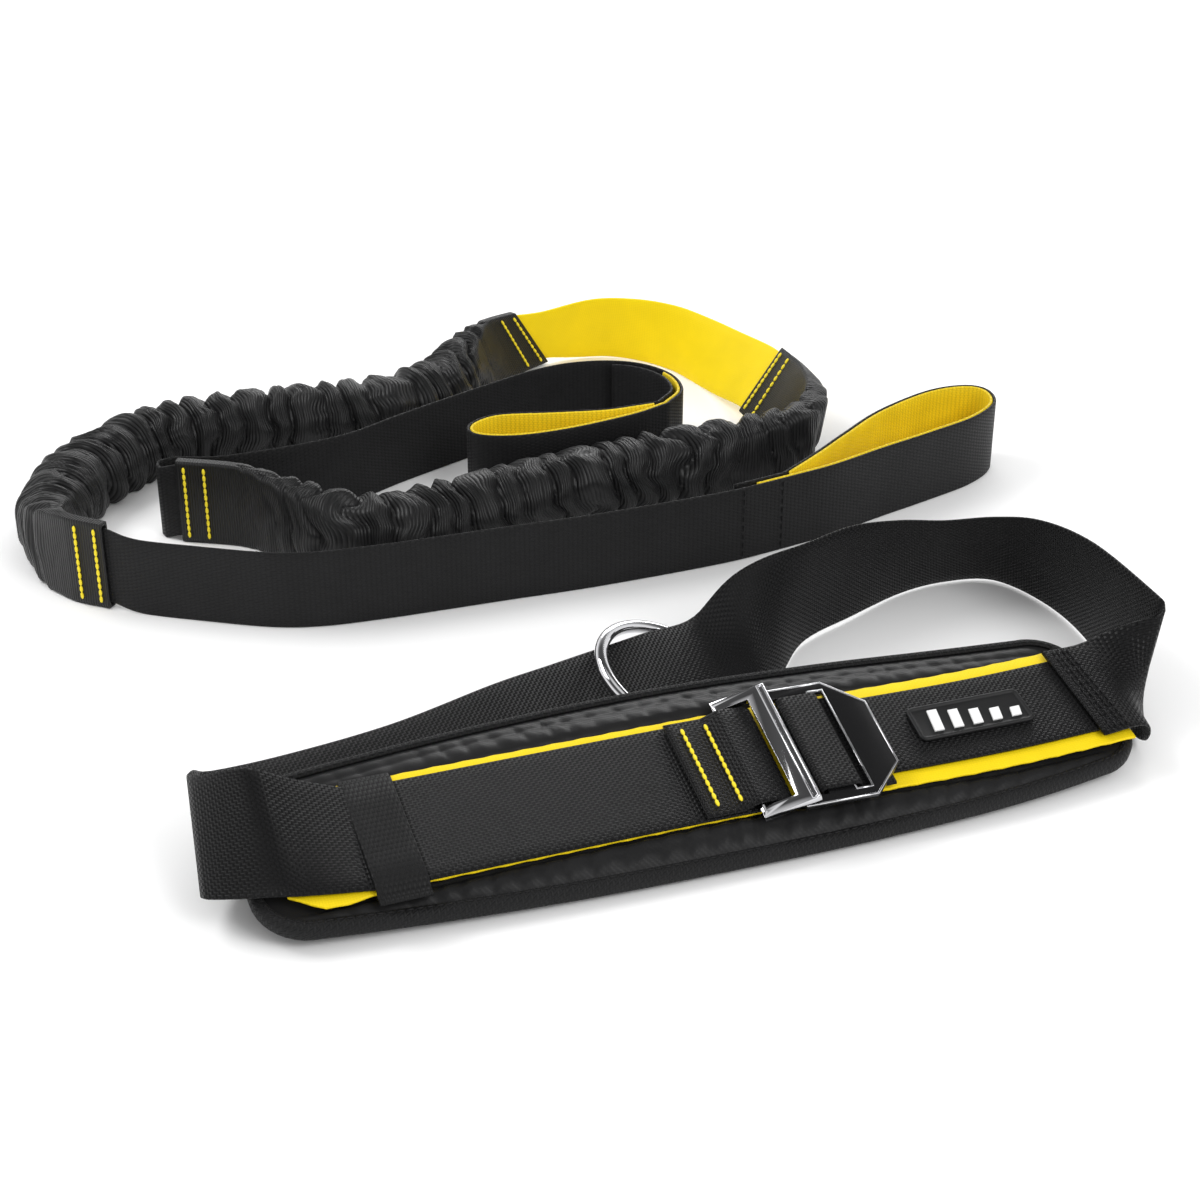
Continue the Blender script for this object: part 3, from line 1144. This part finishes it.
# %% [markdown]
# A sleeve is a long tube of cloth, much longer than the elastic inside it, so
# it bunches into ridges across its length. At both ends it is flattened and
# sewn over the strap. The ridges come from one wave along the sleeve whose
# place is pushed about by noise, so folds wander, fork and fade like cloth.

# %% Gathered sleeves
HEADING_REACH = 0.008
FLOOR_ROOM = 0.0004
INNER_RINGS = 60


def section_at(full, shrink):
    """Corner points of a sleeve's section: a flat box at 0, round at 1."""
    wide, thick = [end / 2 + (SLEEVE_RADIUS - end / 2) * full - shrink
                   for end in (SLEEVE_END_WIDTH, SLEEVE_END_THICKNESS)]
    result = []
    for angle in turns(SLEEVE_SIDES, 0.5):
        c, s = math.cos(angle), math.sin(angle)
        scale = full + (1 - full) * min(1 / max(abs(c), abs(s)), 1.35)
        result.append((wide * c * scale, thick * s * scale))
    return result


def gather_place(distance, angle, seed):
    """How many gathers lie between the sleeve's start and this place. Its level lines are the folds."""
    c, s = math.cos(angle), math.sin(angle)
    push = 0.62 * noise.noise(Vector((c * 0.8, s * 0.8, distance * 24 + seed)))
    push += 0.16 * noise.noise(Vector((c * 2.0, s * 2.0, distance * 55 + seed + 9)))
    return distance / GATHER_PITCH + push * 1.5 + 0.5 * noise.noise(Vector((distance * 50, 0.3, seed)))


def gather(distance, angle, seed):
    """Height of the bunched cloth, from about -1 to 1: rounded crests, sharp valleys."""
    c, s = math.cos(angle), math.sin(angle)
    place = gather_place(distance, angle, seed)
    main = 1 - 2 * ridge(math.pi * place)
    small = 1 - 2 * ridge(math.pi * (place * 2.37 + 0.4))
    strong = 0.8 + 0.55 * noise.noise(Vector((c * 1.3, s * 1.3, distance * 40 + seed + 4)))
    lump = noise.noise(Vector((c * 0.8, s * 0.8, distance * 24 + seed + 2)))
    return 0.78 * main * strong + 0.14 * small + 0.4 * lump


def sleeve(name, shares, seed, start=0.0, full_at=0.001):
    """A gathered tube, with its line and length. The gathers begin between the distances start and full_at."""
    line = np.array(smooth_rows(route_rows(shares, TETHER_SPAN, TAPE_WIDTH), STRAP_STEP))
    lengths = lengths_along(line)
    total = lengths[-1]
    angles = turns(SLEEVE_SIDES, 0.5)

    def ring_of(distance, inner):
        row = read_at(distance, lengths, line)
        ahead, behind = [read_at(clamp(distance + reach, 0, total), lengths, line)[:3]
                         for reach in (HEADING_REACH, -HEADING_REACH)]
        across = unit(row[3:6])
        outward = unit(np.cross(unit(ahead - behind), across))
        full = clamp(row[6])
        wall = SLEEVE_WALL + (SLEEVE_GATHER_WALL - SLEEVE_WALL) * full
        strength = GATHER_HEIGHT * full ** 0.6 * (0.25 + 0.75 * clamp((distance - start) / (full_at - start)))
        points = []
        for angle, (a, b) in zip(angles, section_at(full, wall if inner else 0)):
            grow = 1 if inner else 1 + strength * gather(distance, angle, seed) / math.hypot(a, b)
            point = row[:3] + (across * a + outward * b) * grow
            point[2] = max(point[2], SLEEVE_WALL if inner else FLOOR_ROOM)
            points.append(point)
        return points

    outside = steps_between(0, total, round(total / SLEEVE_STEP))
    inside = steps_between(total, 0, INNER_RINGS)
    points = [p for d in outside for p in ring_of(d, False)] + [p for d in inside for p in ring_of(d, True)]
    maps = []
    for d in outside + inside:
        follow = 0.6 * clamp(read_at(d, lengths, line)[6])
        shifts = [gather_place(d, angle, seed) * GATHER_PITCH - d for angle in angles]
        maps += [((d + shift * follow) * CLOTH_FULLNESS, d) for shift in shifts]
    faces = tube_faces(len(outside) + len(inside), SLEEVE_SIDES, closed=True)
    print(name, "length", round(float(total), 3), "m, faces", len(faces))
    return put(name, points, faces, gathered, maps), line, total


left_sleeve, left_rows, left_total = sleeve("left_gathered_sleeve", SLEEVE_LEFT_SHARES, 11.0)
right_sleeve, right_rows, right_total = sleeve("right_gathered_sleeve", SLEEVE_RIGHT_SHARES, 47.0, 0.045, 0.085)
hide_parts("sleeve_left", "elastic_left")
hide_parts("sleeve_right", "elastic_right")

# %% [markdown]
# The straps of the tether stand on edge. Each black strap runs out of its
# sleeve, turns back into a hand loop with a yellow lining, and is sewn on
# itself. The yellow strap joins the two sleeves.

# %% Straps of the tether
def plan_rows(shares):
    """Rows of a tape that stands on its edge."""
    height = STANDING_HEIGHT_SHARE * TAPE_WIDTH
    return [np.array([x * TETHER_SPAN, y * TETHER_SPAN, height, *UP]) for x, y in shares]


def tongue_rows(rows, total, at_start):
    """The part of a strap that is sewn inside a sleeve's flat end, from the inside out."""
    bare = [row[:6] for row in rows]
    if at_start:
        return rows_between(bare, 0, TONGUE_LENGTH)[::-1][::3]
    return rows_between(bare, total - TONGUE_LENGTH, total)[::3]


def looped(name, lining_name, start_rows, out_shares, loop_shares, seam_length, side):
    """A handle strap whose end turns back into a hand loop, with its lining."""
    outgoing = smooth_rows(start_rows + plan_rows(out_shares), LOOP_STEP)
    lengths = lengths_along(outgoing)
    sewn = int(np.sum(lengths > lengths[-1] - seam_length))
    step = TAPE_THICKNESS + GAP
    back = offset_rows(outgoing, side * 3 * step)[-sewn:][::-1]
    loop = smooth_rows([outgoing[-1]] + plan_rows(loop_shares) + [back[0]], LOOP_STEP)
    rows = outgoing[:-1] + loop + back[1:]
    strap = tape(name, rows, TAPE_WIDTH, TAPE_THICKNESS, thin_tape)
    first, last = len(outgoing) - round(sewn * LINING_SHARE), len(rows) - sewn
    lining = tape(lining_name, offset_rows(rows, side * step)[first:last], TAPE_WIDTH, TAPE_THICKNESS, lining_tape)
    return strap, lining, rows, lengths[-1]


front_strap, front_lining, front_rows, front_total = looped(
    "front_handle_tape", "front_handle_lining", tongue_rows(left_rows, left_total, False), FRONT_STRAP_SHARES,
    FRONT_LOOP_SHARES, FRONT_SEAM_LENGTH, -1)
rear_strap, rear_lining, rear_rows, rear_total = looped(
    "rear_handle_tape", "rear_handle_lining", tongue_rows(right_rows, right_total, False), REAR_STRAP_SHARES,
    REAR_LOOP_SHARES, REAR_SEAM_LENGTH, 1)
centre_rows = tongue_rows(left_rows, left_total, True) + route_rows(CENTRE_ROUTE_SHARES, TETHER_SPAN, TAPE_WIDTH)
centre_rows += tongue_rows(right_rows, right_total, True)[::-1]
centre_strap = tape("yellow_centre_tape", smooth_rows(centre_rows, STRAP_STEP), TAPE_WIDTH, TAPE_THICKNESS, yellow_tape)
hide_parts("handle_strap_front")
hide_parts("handle_lining_front")
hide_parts("handle_strap_rear")
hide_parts("handle_lining_rear")
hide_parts("centre_strap")

# %% Sewn lines of the tether
def sleeve_seams(rows, total, at_start):
    """Two lines near a sleeve's end, on both its faces."""
    lines = []
    for reach in (STITCH_MARGIN, STITCH_MARGIN + SEAM_SPACING):
        distance = reach if at_start else total - reach
        full = max(read_at(distance, lengths_along(rows), rows)[6], 0)
        rise = SLEEVE_END_THICKNESS / 2 + (SLEEVE_RADIUS - SLEEVE_END_THICKNESS / 2) * full + SLEEVE_SEAM_LIFT
        for lift in (-rise, rise):
            lines += lines_across(rows, [distance], SLEEVE_END_WIDTH - SLEEVE_SEAM_ROOM, lift)
    return lines


seams = []
for side_name, rows, total in (("left", left_rows, left_total), ("right", right_rows, right_total)):
    for end_name, at_start in (("inner", True), ("outer", False)):
        item = sew(f"{side_name}_{end_name}_seam", sleeve_seams(rows, total, at_start), yellow_thread, *YELLOW_STITCH)
        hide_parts(f"{side_name}_{end_name}_stitches")
        seams.append(item)
handle_seam = TAPE_WIDTH - STRAP_SEAM_ROOM, TAPE_THICKNESS / 2 + SEAM_LIFT
spots = (front_total - FRONT_SEAM_LENGTH + STITCH_MARGIN, front_total - STITCH_MARGIN)
item = sew("front_handle_seam", lines_across(front_rows, spots, *handle_seam), black_thread)
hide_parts("front_handle_stitches")
seams.append(item)
seam_end = rear_total - REAR_SEAM_LENGTH + STITCH_MARGIN
spots = (seam_end + SEAM_SPACING, seam_end)
item = sew("rear_handle_seam", lines_across(rear_rows, spots, handle_seam[0], -handle_seam[1]), black_thread)
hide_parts("rear_handle_stitches")
seams.append(item)

# %% [markdown]
# Every piece now rides on the body that carries it, so the hook opens, the
# plate lifts and the ring slides with their cloth in place.

# %% Bodies and finishes
for body, items in (
        ("belt", (front, back, binding, binding_seam, stripe, pad_band, belt, tail_seam, box_seam, keeper, badge,
                  badge_bars)),
        ("hook", (hook, frame_edges)), ("plate", (plate, plate_edges, bar_loop)), ("ring", (tow_ring,)),
        ("tether", (left_sleeve, right_sleeve, front_strap, front_lining, rear_strap, rear_lining, centre_strap,
                    *seams))):
    for item in items:
        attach(item, body)

# %% Size of the dressed model against the solids
print("boxes written")
